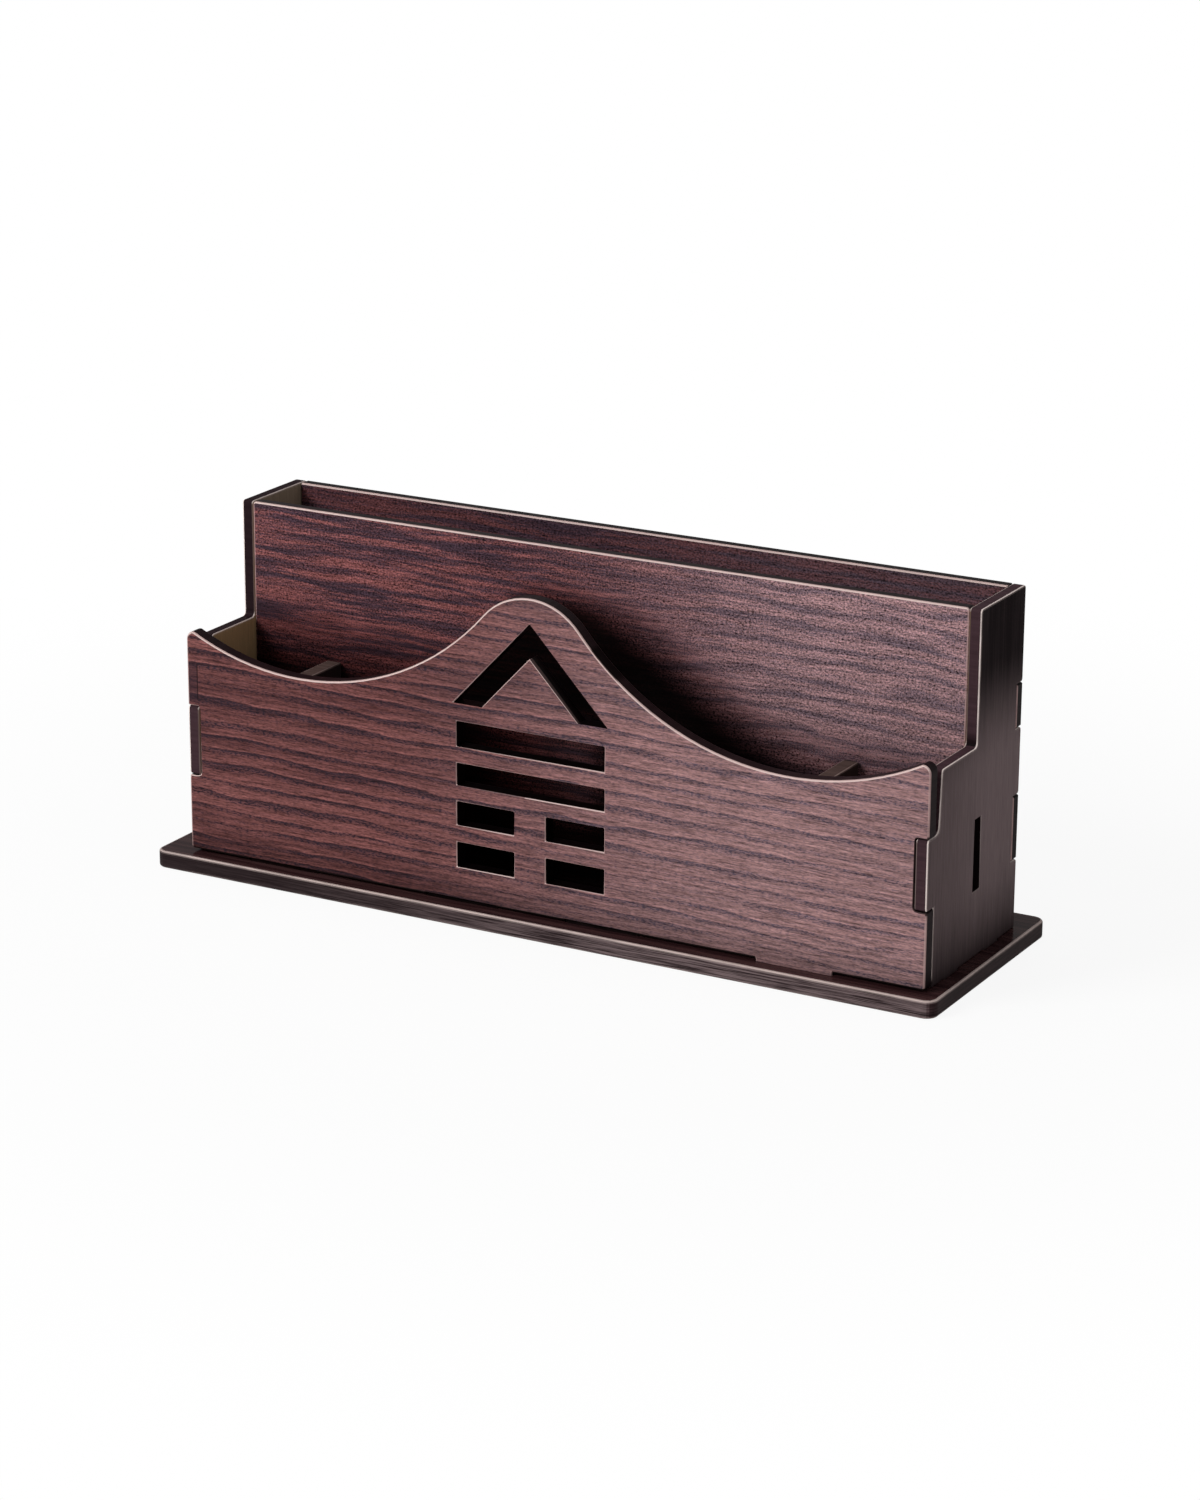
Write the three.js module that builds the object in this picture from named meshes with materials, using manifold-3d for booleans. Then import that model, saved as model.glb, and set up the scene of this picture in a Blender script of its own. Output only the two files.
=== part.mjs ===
// Pen stand with a card pocket, slotted together from flat boards.
// Millimetres. +X is the right end, +Y the rear, +Z up.
// The origin is the centre of the base plate's underside.
import * as THREE from "three";
import { mergeVertices } from "three/addons/utils/BufferGeometryUtils.js";
import Module from "manifold-3d";

const wasm = await Module();
wasm.setup();

// Board thicknesses
const BASE_THICKNESS = 5.5;
const FRONT_THICKNESS = 5;
const DIVIDER_THICKNESS = 5;
const SIDE_THICKNESS = 4;
const MIDDLE_THICKNESS = 4;
const BACK_THICKNESS = 4;

// How far the base plate stands out past the box on each side
const LEFT_LEDGE = 10.25;
const RIGHT_LEDGE = 5.25;
const FRONT_LEDGE = 5.5;
const REAR_LEDGE = 12.25;
const BASE_CORNER_RADIUS = 3.75;

// The box, its heights measured from the top of the base plate, and how far left of its middle the crest is
const BOX_WIDTH = 250;
const BOX_DEPTH = 63;
const CREST_SHIFT = 3.9;
const TALL_HEIGHT = 105;
const LEFT_SHOULDER_HEIGHT = 68;
const RIGHT_SHOULDER_HEIGHT = 64.25;
const PEN_POCKET_DEPTH = 27;
const SHOULDER_FILLET = 1.5;
const BOARD_CORNER_RADIUS = 1;

// Waved top of the front board: two dips, each placed from its own end, and the crest between them
const LEFT_DIP = { inset: 41, height: 61.7 };
const RIGHT_DIP = { inset: 43.75, height: 57.5 };
const CREST_TOP = 97.9;
const CREST_RADIUS = 21;
const FRONT_CORNER_RADIUS = 2.5;
const FRONT_REVEAL = 0.75;

// Pierced ornament of the front board: a chevron over two whole and two split bars
const CHEVRON_HALF_WIDTH = 26.2;
const CHEVRON_INNER_HALF_WIDTH = 16.3;
const CHEVRON_FOOT = 62.5;
const CHEVRON_RISE = 27.8;
const CHEVRON_INNER_RISE = 17.3;
const BAR_HALF_WIDTH = 25.1;
const SPLIT_BRIDGE = 10.7;
const SPLIT_BARS = [{ bottom: 11.2, height: 7.9 }, { bottom: 24.4, height: 7.5 }];
const WHOLE_BARS = [{ bottom: 36.9, height: 7 }, { bottom: 49, height: 7.9 }];

// Tongue of each side board, seen in a notch at the end of the front board
const LEFT_TONGUE = { bottom: 25, height: 22 };
const RIGHT_TONGUE = { bottom: 24.3, height: 21.3 };
const TONGUE_FILLET = 2.25;
const NOTCH_LOWER_RADIUS = 1.5;
const NOTCH_UPPER_RADIUS = 0.75;
const SHOULDER_SETBACK = 3.5;
const TONGUE_SETBACK = 2.25;

// Fingers at the ends of the back board, through the rear edges of the side boards
const BACK_FINGERS = [{ bottom: 21.5, height: 20.25 }, { bottom: 62.25, height: 13.75 }];

// Stub tenons at the ends of the middle board, in a slot of each side board
const STUB_BOTTOM = 20.75;
const STUB_HEIGHT = 21.5;
const STUB_RECESS = 2.5;

// Dividers of the pen pocket
const LEFT_DIVIDER = { inset: 33, height: 57.75 };
const RIGHT_DIVIDER = { inset: 39.75, height: 54 };
const DIVIDER_TENON_BOTTOM = 20;
const DIVIDER_TENON_HEIGHT = 15;
const DIVIDER_TENON_RECESS = 0.5;

// Tabs under the boards, in mortises of the base plate
const TAB_RECESS = 0.5;
const TAB_WIDTH = 24.5;
const TAB_OFFSETS = [-87.5, -24, 24, 87.5];
const HIDDEN_TABS = 3;
const HIDDEN_TAB_SETBACK = 1;
const MIDDLE_TAB_OFFSETS = [-56, 56];
const SIDE_TAB_WIDTH = 10;
const SIDE_TAB_CENTRES = [18, 46];
const DIVIDER_TAB_WIDTH = 12;
const DIVIDER_TAB_CENTRE = 18.5;

// Joint clearance, eased arrises and smoothness of the curves
const CLEARANCE = 0.3;
const EASE = 0.5;
const BASE_EASE = 0.75;
const EASE_STEPS = 2;
const BASE_EASE_STEPS = 3;
const CURVE_ERROR = 0.03;
const OVERCUT = 1;

// Sizes and places that follow from the ones above
const BASE_WIDTH = LEFT_LEDGE + BOX_WIDTH + RIGHT_LEDGE;
const BASE_DEPTH = FRONT_LEDGE + BOX_DEPTH + REAR_LEDGE;
const TAB_LENGTH = BASE_THICKNESS - TAB_RECESS;
const FRONT_FACE_Y = FRONT_LEDGE - BASE_DEPTH / 2;
const BOX_LEFT_X = LEFT_LEDGE - BASE_WIDTH / 2;
const CENTRE_LINE = BOX_WIDTH / 2 - CREST_SHIFT;
const LEFT_DIVIDER_CENTRE = LEFT_DIVIDER.inset;
const RIGHT_DIVIDER_CENTRE = BOX_WIDTH - RIGHT_DIVIDER.inset;
const MIDDLE_FACE = FRONT_THICKNESS + PEN_POCKET_DEPTH;
const BACK_FACE = BOX_DEPTH - BACK_THICKNESS;
const INNER_WIDTH = BOX_WIDTH - 2 * SIDE_THICKNESS;

const finishes = {
  laminate: { color: 0x80585a, roughness: 0.42, metalness: 0 },
  dark: { color: 0x4b4442, roughness: 0.4, metalness: 0 },
  base: { color: 0x4a403e, roughness: 0.3, metalness: 0 },
  divider: { color: 0x55473f, roughness: 0.5, metalness: 0 },
};

// Points of an arc, close enough together for the allowed curve error
function arcPoints(x, y, radius, from, to) {
  const largestStep = 2 * Math.acos(1 - CURVE_ERROR / radius);
  const steps = Math.max(2, Math.ceil(Math.abs(to - from) / largestStep));
  const points = [];
  for (let i = 0; i <= steps; i += 1) {
    const angle = from + ((to - from) * i) / steps;
    points.push(new THREE.Vector2(x + radius * Math.cos(angle), y + radius * Math.sin(angle)));
  }
  return points;
}

// Fillet of one corner between its two neighbours, or the corner itself when it is sharp
function cornerPoints(before, corner, after) {
  const [x, y, radius = 0] = corner;
  const here = new THREE.Vector2(x, y);
  if (radius === 0) {
    return [here];
  }
  const toBefore = new THREE.Vector2(before[0] - x, before[1] - y).normalize();
  const toAfter = new THREE.Vector2(after[0] - x, after[1] - y).normalize();
  const halfAngle = Math.acos(THREE.MathUtils.clamp(toBefore.dot(toAfter), -1, 1)) / 2;
  const bisector = toBefore.clone().add(toAfter).normalize();
  const centre = here.clone().addScaledVector(bisector, radius / Math.sin(halfAngle));
  const tangent = radius / Math.tan(halfAngle);
  const first = here.clone().addScaledVector(toBefore, tangent).sub(centre);
  const last = here.clone().addScaledVector(toAfter, tangent).sub(centre);
  const from = first.angle();
  let sweep = last.angle() - from;
  if (sweep > Math.PI) {
    sweep -= 2 * Math.PI;
  }
  if (sweep < -Math.PI) {
    sweep += 2 * Math.PI;
  }
  return arcPoints(centre.x, centre.y, radius, from, from + sweep);
}

// Outline from corners given as [x, y, fillet radius]
function outline(corners) {
  const count = corners.length;
  return corners.flatMap((corner, i) =>
    cornerPoints(corners[(i + count - 1) % count], corner, corners[(i + 1) % count]));
}

function rectangle(left, right, bottom, top, radius = 0) {
  return outline([
    [left, bottom, radius],
    [right, bottom, radius],
    [right, top, radius],
    [left, top, radius],
  ]);
}

// Corners of tabs that hang below a board's edge, from left to right
function tabCorners(centres, width, edge, length) {
  return centres.flatMap((centre) => [
    [centre - width / 2, edge],
    [centre - width / 2, edge - length, BOARD_CORNER_RADIUS],
    [centre + width / 2, edge - length, BOARD_CORNER_RADIUS],
    [centre + width / 2, edge],
  ]);
}

// Flat board with eased arrises, lying on z = 0
function boardGeometry(points, thickness, ease, steps) {
  const geometry = new THREE.ExtrudeGeometry(new THREE.Shape(points), {
    depth: thickness - 2 * ease,
    bevelEnabled: true,
    bevelThickness: ease,
    bevelSize: ease,
    bevelOffset: -ease,
    bevelSegments: steps,
  });
  return geometry.translate(0, 0, ease);
}

// Cutter for a joint, through the whole thickness of a board
function cutterGeometry(points, thickness) {
  const geometry = new THREE.ExtrudeGeometry(new THREE.Shape(points), {
    depth: thickness + 2 * OVERCUT,
    bevelEnabled: false,
  });
  return geometry.translate(0, 0, -OVERCUT);
}

function toSolid(geometry) {
  const bare = geometry.clone();
  bare.deleteAttribute("normal");
  bare.deleteAttribute("uv");
  const merged = mergeVertices(bare);
  return new wasm.Manifold(new wasm.Mesh({
    numProp: 3,
    vertProperties: new Float32Array(merged.attributes.position.array),
    triVerts: new Uint32Array(merged.index.array),
  }));
}

function toGeometry(solid) {
  const { vertProperties, triVerts } = solid.getMesh();
  const geometry = new THREE.BufferGeometry();
  geometry.setAttribute("position", new THREE.BufferAttribute(vertProperties, 3));
  geometry.setIndex(new THREE.BufferAttribute(triVerts, 1));
  geometry.computeVertexNormals();
  return geometry;
}

function cut(geometry, cutters) {
  const body = cutters.reduce((left, cutter) => left.subtract(toSolid(cutter)), toSolid(geometry));
  return toGeometry(body);
}

// A board drawn across the box stands up facing the front, its thickness toward the rear
function standAcross(geometry, thickness) {
  const across = new THREE.Vector3(1, 0, 0);
  const up = new THREE.Vector3(0, 0, 1);
  const forward = new THREE.Vector3(0, -1, 0);
  const turn = new THREE.Matrix4().makeBasis(across, up, forward);
  return geometry.translate(0, 0, -thickness).applyMatrix4(turn);
}

// A board drawn from front to rear stands up as a side, its thickness toward the right
function standAlong(geometry) {
  const rearward = new THREE.Vector3(0, 1, 0);
  const up = new THREE.Vector3(0, 0, 1);
  const right = new THREE.Vector3(1, 0, 0);
  return geometry.applyMatrix4(new THREE.Matrix4().makeBasis(rearward, up, right));
}

function piece(name, geometry, finish, position) {
  const mesh = new THREE.Mesh(geometry, new THREE.MeshStandardMaterial(finish));
  mesh.name = name;
  mesh.position.copy(position);
  return mesh;
}

// Place inside the box: across from its left end, back from its front face
function inBox(across, back) {
  return new THREE.Vector3(BOX_LEFT_X + across, FRONT_FACE_Y + back, BASE_THICKNESS);
}

// Mortise in the base plate around a tab that fills the given part of the box
function baseMortise(left, right, front, rear) {
  const x = BOX_LEFT_X;
  const y = FRONT_FACE_Y;
  const points = rectangle(
    x + left - CLEARANCE, x + right + CLEARANCE, y + front - CLEARANCE, y + rear + CLEARANCE);
  return cutterGeometry(points, BASE_THICKNESS);
}

function tabMortises(centres, width, front, rear) {
  return centres.map((centre) => baseMortise(centre - width / 2, centre + width / 2, front, rear));
}

function sideMortises(left) {
  return SIDE_TAB_CENTRES.map((centre) =>
    baseMortise(left, left + SIDE_THICKNESS, centre - SIDE_TAB_WIDTH / 2, centre + SIDE_TAB_WIDTH / 2));
}

function dividerMortise(centre) {
  const half = DIVIDER_THICKNESS / 2;
  return baseMortise(
    centre - half, centre + half,
    DIVIDER_TAB_CENTRE - DIVIDER_TAB_WIDTH / 2, DIVIDER_TAB_CENTRE + DIVIDER_TAB_WIDTH / 2);
}

const boardTabs = TAB_OFFSETS.map((offset) => CENTRE_LINE + offset);
const hiddenTabs = boardTabs.slice(0, HIDDEN_TABS);
const shownTabs = boardTabs.slice(HIDDEN_TABS);
const middleTabs = MIDDLE_TAB_OFFSETS.map((offset) => CENTRE_LINE + offset);

function makeBasePlate() {
  const halfWidth = BASE_WIDTH / 2;
  const halfDepth = BASE_DEPTH / 2;
  const points = rectangle(-halfWidth, halfWidth, -halfDepth, halfDepth, BASE_CORNER_RADIUS);
  const plate = boardGeometry(points, BASE_THICKNESS, BASE_EASE, BASE_EASE_STEPS);
  const mortises = [
    ...tabMortises(hiddenTabs, TAB_WIDTH, HIDDEN_TAB_SETBACK, FRONT_THICKNESS),
    ...tabMortises(shownTabs, TAB_WIDTH, 0, FRONT_THICKNESS),
    ...tabMortises(middleTabs, TAB_WIDTH, MIDDLE_FACE, MIDDLE_FACE + MIDDLE_THICKNESS),
    ...tabMortises(boardTabs, TAB_WIDTH, BACK_FACE, BOX_DEPTH),
    ...sideMortises(0),
    ...sideMortises(BOX_WIDTH - SIDE_THICKNESS),
    dividerMortise(LEFT_DIVIDER_CENTRE),
    dividerMortise(RIGHT_DIVIDER_CENTRE),
  ];
  return piece("base_plate", cut(plate, mortises), finishes.base, new THREE.Vector3());
}

// Radius of a dip that runs smoothly into the crest, from how far off the crest it lies and its own height
function dipRadius(reach, height) {
  const rise = CREST_TOP - CREST_RADIUS - height;
  return (reach ** 2 + rise ** 2 - CREST_RADIUS ** 2) / (2 * (rise + CREST_RADIUS));
}

// Waved top edge from the right end to the left: each dip is an arc, and the crest rounds over between them
function wavePoints() {
  const crest = new THREE.Vector2(CENTRE_LINE, CREST_TOP - CREST_RADIUS);
  const leftX = LEFT_DIP.inset;
  const rightX = BOX_WIDTH - RIGHT_DIP.inset;
  const leftRadius = dipRadius(CENTRE_LINE - leftX, LEFT_DIP.height);
  const rightRadius = dipRadius(rightX - CENTRE_LINE, RIGHT_DIP.height);
  const leftCentre = new THREE.Vector2(leftX, LEFT_DIP.height + leftRadius);
  const rightCentre = new THREE.Vector2(rightX, RIGHT_DIP.height + rightRadius);
  const toRight = rightCentre.clone().sub(crest).angle();
  const toLeft = leftCentre.clone().sub(crest).angle();
  const endRight = Math.acos((BOX_WIDTH - FRONT_CORNER_RADIUS - rightX) / rightRadius);
  const endLeft = Math.acos((FRONT_CORNER_RADIUS - leftX) / leftRadius);
  const rightArc = arcPoints(rightCentre.x, rightCentre.y, rightRadius, -endRight, toRight - Math.PI);
  const crestArc = arcPoints(crest.x, crest.y, CREST_RADIUS, toRight, toLeft);
  const leftArc = arcPoints(leftCentre.x, leftCentre.y, leftRadius, toLeft - Math.PI, -endLeft);
  return [...rightArc, ...crestArc.slice(1, -1), ...leftArc];
}

function frontOutline() {
  const wave = wavePoints();
  const right = wave[0];
  const left = wave[wave.length - 1];
  const r = FRONT_CORNER_RADIUS;
  const bottom = [
    [0, FRONT_REVEAL, BOARD_CORNER_RADIUS],
    ...tabCorners(boardTabs, TAB_WIDTH, FRONT_REVEAL, TAB_LENGTH + FRONT_REVEAL),
    [BOX_WIDTH, FRONT_REVEAL, BOARD_CORNER_RADIUS],
  ];
  const lower = outline([[0, left.y - r], ...bottom, [BOX_WIDTH, right.y - r]]);
  const rightCorner = arcPoints(BOX_WIDTH - r, right.y - r, r, 0, Math.PI / 2).slice(1, -1);
  const leftCorner = arcPoints(r, left.y - r, r, Math.PI / 2, Math.PI).slice(1, -1);
  return [...lower, ...rightCorner, ...wave, ...leftCorner];
}

function chevron() {
  const x = CENTRE_LINE;
  const corners = [
    [x - CHEVRON_HALF_WIDTH, CHEVRON_FOOT],
    [x - CHEVRON_INNER_HALF_WIDTH, CHEVRON_FOOT],
    [x, CHEVRON_FOOT + CHEVRON_INNER_RISE],
    [x + CHEVRON_INNER_HALF_WIDTH, CHEVRON_FOOT],
    [x + CHEVRON_HALF_WIDTH, CHEVRON_FOOT],
    [x, CHEVRON_FOOT + CHEVRON_RISE],
  ];
  return outline(corners);
}

// Bars of the ornament: the split ones below, and the whole ones above them
function bars() {
  const left = CENTRE_LINE - BAR_HALF_WIDTH;
  const right = CENTRE_LINE + BAR_HALF_WIDTH;
  const bridgeLeft = CENTRE_LINE - SPLIT_BRIDGE / 2;
  const bridgeRight = CENTRE_LINE + SPLIT_BRIDGE / 2;
  const split = SPLIT_BARS.flatMap(({ bottom, height }) => [
    rectangle(left, bridgeLeft, bottom, bottom + height),
    rectangle(bridgeRight, right, bottom, bottom + height),
  ]);
  const whole = WHOLE_BARS.map(({ bottom, height }) => rectangle(left, right, bottom, bottom + height));
  return [...split, ...whole];
}

// Open notch at one end of the front board, rounded at its inner corners, for a side board's tongue
function tongueNotch(tongue, end, inward) {
  const outer = end - inward * OVERCUT;
  const inner = end + inward * (SIDE_THICKNESS + CLEARANCE);
  const bottom = tongue.bottom - CLEARANCE;
  const top = tongue.bottom + tongue.height + CLEARANCE;
  const corners = [
    [outer, bottom],
    [inner, bottom, NOTCH_LOWER_RADIUS],
    [inner, top, NOTCH_UPPER_RADIUS],
    [outer, top],
  ];
  const points = outline(inward > 0 ? corners : corners.reverse());
  return cutterGeometry(points, FRONT_THICKNESS);
}

// Relief that sets a tab back from the front board's face, so that the face ends in one straight line
function tabRelief(centre) {
  const points = rectangle(
    centre - TAB_WIDTH / 2, centre + TAB_WIDTH / 2, -TAB_LENGTH - OVERCUT, FRONT_REVEAL + EASE);
  const depth = FRONT_THICKNESS - HIDDEN_TAB_SETBACK;
  return cutterGeometry(points, FRONT_THICKNESS).translate(0, 0, OVERCUT + depth);
}

function makeFrontPanel() {
  const board = boardGeometry(frontOutline(), FRONT_THICKNESS, EASE, EASE_STEPS);
  const ornament = [chevron(), ...bars()].map((points) => cutterGeometry(points, FRONT_THICKNESS));
  const notches = [tongueNotch(LEFT_TONGUE, 0, 1), tongueNotch(RIGHT_TONGUE, BOX_WIDTH, -1)];
  const pierced = cut(board, [...ornament, ...notches, ...hiddenTabs.map(tabRelief)]);
  return piece("front_panel", standAcross(pierced, FRONT_THICKNESS), finishes.laminate, inBox(0, 0));
}

// Profile of a side board, from the front face of the box to its rear face
function sideOutline(shoulderHeight, tongue) {
  const r = BOARD_CORNER_RADIUS;
  const tongueTop = tongue.bottom + tongue.height;
  const rearGaps = BACK_FINGERS.flatMap(({ bottom, height }) => [
    [BOX_DEPTH, bottom, r],
    [BACK_FACE, bottom],
    [BACK_FACE, bottom + height],
    [BOX_DEPTH, bottom + height, r],
  ]);
  return outline([
    [FRONT_THICKNESS, 0],
    ...tabCorners(SIDE_TAB_CENTRES, SIDE_TAB_WIDTH, 0, TAB_LENGTH),
    [BOX_DEPTH, 0],
    ...rearGaps,
    [BOX_DEPTH, TALL_HEIGHT, r],
    [MIDDLE_FACE, TALL_HEIGHT, r],
    [MIDDLE_FACE, shoulderHeight, SHOULDER_FILLET],
    [FRONT_THICKNESS + SHOULDER_SETBACK, shoulderHeight, r],
    [FRONT_THICKNESS + TONGUE_SETBACK, tongueTop, TONGUE_FILLET],
    [0, tongueTop, r],
    [0, tongue.bottom, r],
    [FRONT_THICKNESS, tongue.bottom],
  ]);
}

function makeSidePanel(name, shoulderHeight, tongue, left) {
  const board = boardGeometry(sideOutline(shoulderHeight, tongue), SIDE_THICKNESS, EASE, EASE_STEPS);
  const slot = rectangle(
    MIDDLE_FACE - CLEARANCE, MIDDLE_FACE + MIDDLE_THICKNESS + CLEARANCE,
    STUB_BOTTOM - CLEARANCE, STUB_BOTTOM + STUB_HEIGHT + CLEARANCE);
  const slotted = cut(board, [cutterGeometry(slot, SIDE_THICKNESS)]);
  return piece(name, standAlong(slotted), finishes.dark, inBox(left, 0));
}

function dividerTenonSlot(centre) {
  const half = DIVIDER_THICKNESS / 2 + CLEARANCE;
  const points = rectangle(
    centre - half, centre + half,
    DIVIDER_TENON_BOTTOM - CLEARANCE, DIVIDER_TENON_BOTTOM + DIVIDER_TENON_HEIGHT + CLEARANCE);
  return cutterGeometry(points, MIDDLE_THICKNESS);
}

function makeMiddlePanel() {
  const r = BOARD_CORNER_RADIUS;
  const left = SIDE_THICKNESS;
  const right = left + INNER_WIDTH;
  const stub = SIDE_THICKNESS - STUB_RECESS;
  const stubTop = STUB_BOTTOM + STUB_HEIGHT;
  const points = outline([
    [left, 0],
    ...tabCorners(middleTabs, TAB_WIDTH, 0, TAB_LENGTH),
    [right, 0],
    [right, STUB_BOTTOM],
    [right + stub, STUB_BOTTOM, r],
    [right + stub, stubTop, r],
    [right, stubTop],
    [right, TALL_HEIGHT, r],
    [left, TALL_HEIGHT, r],
    [left, stubTop],
    [left - stub, stubTop, r],
    [left - stub, STUB_BOTTOM, r],
    [left, STUB_BOTTOM],
  ]);
  const board = boardGeometry(points, MIDDLE_THICKNESS, EASE, EASE_STEPS);
  const slots = [LEFT_DIVIDER_CENTRE, RIGHT_DIVIDER_CENTRE].map(dividerTenonSlot);
  const slotted = standAcross(cut(board, slots), MIDDLE_THICKNESS);
  return piece("middle_panel", slotted, finishes.laminate, inBox(0, MIDDLE_FACE));
}

// Notches at one end of the back board, below, between and above its fingers
function fingerNotches(end, inward) {
  const outer = end - inward * OVERCUT;
  const inner = end + inward * (SIDE_THICKNESS + CLEARANCE);
  const left = Math.min(outer, inner);
  const right = Math.max(outer, inner);
  const bottoms = [-OVERCUT, ...BACK_FINGERS.map(({ bottom, height }) => bottom + height - CLEARANCE)];
  const tops = [...BACK_FINGERS.map(({ bottom }) => bottom + CLEARANCE), TALL_HEIGHT + OVERCUT];
  return bottoms.map((bottom, i) => cutterGeometry(rectangle(left, right, bottom, tops[i]), BACK_THICKNESS));
}

function makeBackPanel() {
  const r = BOARD_CORNER_RADIUS;
  const points = outline([
    [0, 0],
    ...tabCorners(boardTabs, TAB_WIDTH, 0, TAB_LENGTH),
    [BOX_WIDTH, 0],
    [BOX_WIDTH, TALL_HEIGHT, r],
    [0, TALL_HEIGHT, r],
  ]);
  const board = boardGeometry(points, BACK_THICKNESS, EASE, EASE_STEPS);
  const notched = cut(board, [...fingerNotches(0, 1), ...fingerNotches(BOX_WIDTH, -1)]);
  return piece("back_panel", standAcross(notched, BACK_THICKNESS), finishes.laminate, inBox(0, BACK_FACE));
}

function makeDivider(name, centre, height) {
  const r = BOARD_CORNER_RADIUS;
  const tenon = MIDDLE_FACE + MIDDLE_THICKNESS - DIVIDER_TENON_RECESS;
  const tenonTop = DIVIDER_TENON_BOTTOM + DIVIDER_TENON_HEIGHT;
  const points = outline([
    [FRONT_THICKNESS, 0],
    ...tabCorners([DIVIDER_TAB_CENTRE], DIVIDER_TAB_WIDTH, 0, TAB_LENGTH),
    [MIDDLE_FACE, 0],
    [MIDDLE_FACE, DIVIDER_TENON_BOTTOM],
    [tenon, DIVIDER_TENON_BOTTOM, r],
    [tenon, tenonTop, r],
    [MIDDLE_FACE, tenonTop],
    [MIDDLE_FACE, height],
    [FRONT_THICKNESS, height],
  ]);
  const board = boardGeometry(points, DIVIDER_THICKNESS, EASE, EASE_STEPS);
  const left = centre - DIVIDER_THICKNESS / 2;
  return piece(name, standAlong(board), finishes.divider, inBox(left, 0));
}

const penStand = new THREE.Group();
penStand.add(
  makeBasePlate(),
  makeFrontPanel(),
  makeMiddlePanel(),
  makeBackPanel(),
  makeSidePanel("left_side_panel", LEFT_SHOULDER_HEIGHT, LEFT_TONGUE, 0),
  makeSidePanel("right_side_panel", RIGHT_SHOULDER_HEIGHT, RIGHT_TONGUE, BOX_WIDTH - SIDE_THICKNESS),
  makeDivider("left_divider", LEFT_DIVIDER_CENTRE, LEFT_DIVIDER.height),
  makeDivider("right_divider", RIGHT_DIVIDER_CENTRE, RIGHT_DIVIDER.height),
);

export default penStand;
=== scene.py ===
"""Dresses, lights and views the slotted desk stand: a waved, pierced pen box with a card pocket behind it.

Places and widths in the finishes are in millimetres, and everything else is in metres.
"""

import logging
from dataclasses import dataclass, replace
from enum import Enum
from typing import Any, ClassVar, Optional, Union

import bmesh
import bpy
from mathutils import Matrix, Vector

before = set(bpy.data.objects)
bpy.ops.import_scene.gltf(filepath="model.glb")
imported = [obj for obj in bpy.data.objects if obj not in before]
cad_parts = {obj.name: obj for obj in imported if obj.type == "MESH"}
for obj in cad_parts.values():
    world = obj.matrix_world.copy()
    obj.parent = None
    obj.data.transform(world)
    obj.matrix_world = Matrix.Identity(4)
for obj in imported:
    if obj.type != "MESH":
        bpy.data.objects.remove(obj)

LOG = logging.getLogger("pen_stand")

Colour = tuple[float, float, float]
Place = tuple[float, float, float]
Span = tuple[float, float]
Size = tuple[float, float]
Socket = bpy.types.NodeSocket

MILLIMETRES = 1000.0
WHITE: Colour = (1.0, 1.0, 1.0)

# How squarely a surface looks the way that its board does, from where it starts to count as a face, a sawn
# edge or a crisp arris to where it fully is one
FACE: Span = (0.955, 0.985)
SAWN: Span = (0.34, 0.24)
CRISP: Span = (0.6, 0.75)

# How far a surface is turned up, or away to one side, in the same way
UPWARD: Span = (0.08, 0.3)
ASIDE: Span = (0.1, 0.3)

# Where noise goes from the dark to the light colour of a print
DARK_TO_LIGHT: Span = (0.36, 0.64)


def tone(red: float, green: float, blue: float) -> Colour:
    """Turns a colour written as it looks on a screen into the light it sends back.

    Args:
        red: Red, from 0 to 255.
        green: Green, from 0 to 255.
        blue: Blue, from 0 to 255.

    Returns:
        The colour's three shares of light, from 0 to 1.
    """
    shares = (channel / 255 for channel in (red, green, blue))
    light = [s / 12.92 if s <= 0.04045 else ((s + 0.055) / 1.055) ** 2.4 for s in shares]
    return (light[0], light[1], light[2])


class Way(Enum):
    """The stand's three directions, by their place in a vector."""

    LENGTH = 0
    DEPTH = 1
    HEIGHT = 2


class Laying(Enum):
    """How one colour is laid over another, as the Mix node names it."""

    COVER = "MIX"
    MULTIPLY = "MULTIPLY"


class Cut(Enum):
    """How the figure of a rosewood print lies: in even growth lines, or in broad lens-shaped bands."""

    LINED = "lined"
    BANDED = "banded"


class Outward(Enum):
    """Which way along the stand the outer face of an upright cross board looks."""

    LEFT = -1.0
    RIGHT = 1.0


@dataclass(frozen=True)
class Layer:
    """One layer of soft noise in a print.

    Attributes:
        along: Waves per millimetre along the board.
        across: Waves per millimetre across it.
        shift: Its distance from the board's seed.
        detail: How many finer waves are added.
        roughness: How strong those are.
        stretched: The two values that are stretched to 0 and 1, if it is stretched.
    """

    along: float
    across: float
    shift: float = 0.0
    detail: float = 2.0
    roughness: float = 0.5
    stretched: Optional[Span] = None


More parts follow.
